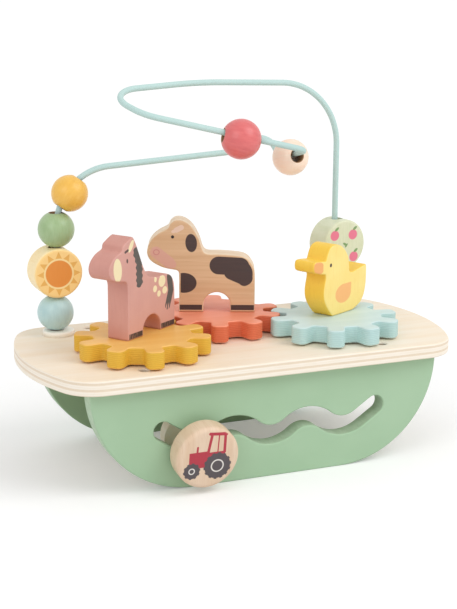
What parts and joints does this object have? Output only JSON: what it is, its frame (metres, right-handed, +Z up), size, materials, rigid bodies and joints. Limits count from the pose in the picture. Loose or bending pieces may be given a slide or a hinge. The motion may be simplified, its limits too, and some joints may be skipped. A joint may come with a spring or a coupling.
{
  "type": "bead maze",
  "caption": "Wooden bead maze: boat-shaped base with a wavy slot and sliding knob, meshing gears that turn animal figures, and a bent wire with beads.",
  "frame": {"origin": "on the ground under the middle of the whole toy, the knob included", "axes": "+X along the board to the end with the duck gear, +Y to the back where the wire stands, +Z up"},
  "size_m": [0.3, 0.1554, 0.2525],
  "materials": {
    "birch_ply": "clear satin lacquer",
    "green_paint": "matte paint on wood",
    "screw_steel": "dull",
    "washer_plastic": "matte",
    "yellow_paint": "matte paint on plywood",
    "coral_paint": "matte paint on plywood",
    "light_blue_paint": "matte paint on plywood",
    "beech": "bare",
    "horse_paint": "matte paint and print on wood",
    "cow_wood": "printed bare wood",
    "duck_paint": "matte paint and print on wood",
    "wire_paint": "satin",
    "ferrule_plastic": "matte",
    "blue_bead_paint": "satin paint on wood",
    "sun_bead_paint": "satin paint and print on wood",
    "green_bead_paint": "satin paint on wood",
    "yellow_bead_paint": "satin paint on wood",
    "red_bead_paint": "satin paint on wood",
    "peach_bead_paint": "satin paint on wood",
    "mint_bead_paint": "satin paint on wood",
    "apple_bead_paint": "satin paint and print on wood"
  },
  "bodies": {
    "base": {"top_board": "birch_ply", "front_panel": "green_paint", "back_panel": "green_paint", "panel_screws": "screw_steel", "gear_washers": "washer_plastic", "wire": "wire_paint", "left_ferrule": "ferrule_plastic", "right_ferrule": "ferrule_plastic"},
    "horse_wheel": {"yellow_gear": "yellow_paint", "yellow_axle": "beech", "yellow_axle_cap": "beech", "horse": "horse_paint", "horse_pins": "beech"},
    "cow_wheel": {"coral_gear": "coral_paint", "coral_axle": "beech", "coral_axle_cap": "beech", "cow": "cow_wood", "cow_pins": "beech"},
    "duck_wheel": {"blue_gear": "light_blue_paint", "blue_axle": "beech", "blue_axle_cap": "beech", "duck": "duck_paint", "duck_pins": "beech"},
    "blue_bead": {"blue_bead": "blue_bead_paint"},
    "sun_bead": {"sun_bead": "sun_bead_paint"},
    "green_bead": {"green_bead": "green_bead_paint"},
    "yellow_bead": {"yellow_bead": "yellow_bead_paint"},
    "red_bead": {"red_bead": "red_bead_paint"},
    "peach_bead": {"peach_bead": "peach_bead_paint"},
    "mint_bead": {"mint_bead": "mint_bead_paint"},
    "apple_bead": {"apple_bead": "apple_bead_paint"},
    "knob": {"tractor_knob": "beech", "knob_peg": "beech", "knob_keeper": "beech"}
  },
  "joints": [
    {"name": "horse_gear_turn", "type": "hinge", "parent": "base", "child": "horse_wheel", "pos_m": [-0.073, -0.01234, 0.088], "axis": [0, 0, 1], "continuous": true},
    {"name": "cow_gear_turn", "type": "hinge", "parent": "base", "child": "cow_wheel", "pos_m": [-0.0025, 0.03016, 0.088], "axis": [0, 0, 1], "continuous": true},
    {"name": "duck_gear_turn", "type": "hinge", "parent": "base", "child": "duck_wheel", "pos_m": [0.068, -0.01234, 0.088], "axis": [0, 0, 1], "continuous": true},
    {"name": "blue_bead_spin", "type": "hinge", "parent": "base", "child": "blue_bead", "pos_m": [-0.11, 0.05466, 0.096], "axis": [0, 0, 1], "continuous": true},
    {"name": "sun_bead_spin", "type": "hinge", "parent": "base", "child": "sun_bead", "pos_m": [-0.11, 0.05466, 0.125], "axis": [0, 0, 1], "continuous": true},
    {"name": "green_bead_spin", "type": "hinge", "parent": "base", "child": "green_bead", "pos_m": [-0.11, 0.05466, 0.154], "axis": [0, 0, 1], "continuous": true},
    {"name": "yellow_bead_slide", "type": "hinge", "parent": "base", "child": "yellow_bead", "pos_m": [-0.07, 0.05466, 0.15574], "axis": [0, 1, 0], "range_deg": [0, 30]},
    {"name": "red_bead_slide", "type": "slide", "parent": "base", "child": "red_bead", "axis": [-0.953, 0.203, 0.225], "range_m": [-0.022, 0.045]},
    {"name": "peach_bead_slide", "type": "slide", "parent": "base", "child": "peach_bead", "axis": [-0.0214, -0.9742, 0.2248], "range_m": [0, 0.0075]},
    {"name": "mint_bead_spin", "type": "hinge", "parent": "base", "child": "mint_bead", "pos_m": [0.1015, 0.05466, 0.098], "axis": [0, 0, 1], "continuous": true},
    {"name": "apple_bead_slide", "type": "slide", "parent": "base", "child": "apple_bead", "axis": [0, 0, 1], "range_m": [0, 0.048]},
    {"name": "knob_slide", "type": "hinge", "parent": "base", "child": "knob", "pos_m": [-0.0515, -0.04984, 0.04981], "axis": [0, 1, 0], "range_deg": [-35, 35]}
  ],
  "couplings": [
    {"joint": "cow_gear_turn", "follows": "horse_gear_turn", "ratio": -1},
    {"joint": "duck_gear_turn", "follows": "horse_gear_turn", "ratio": 1}
  ]
}
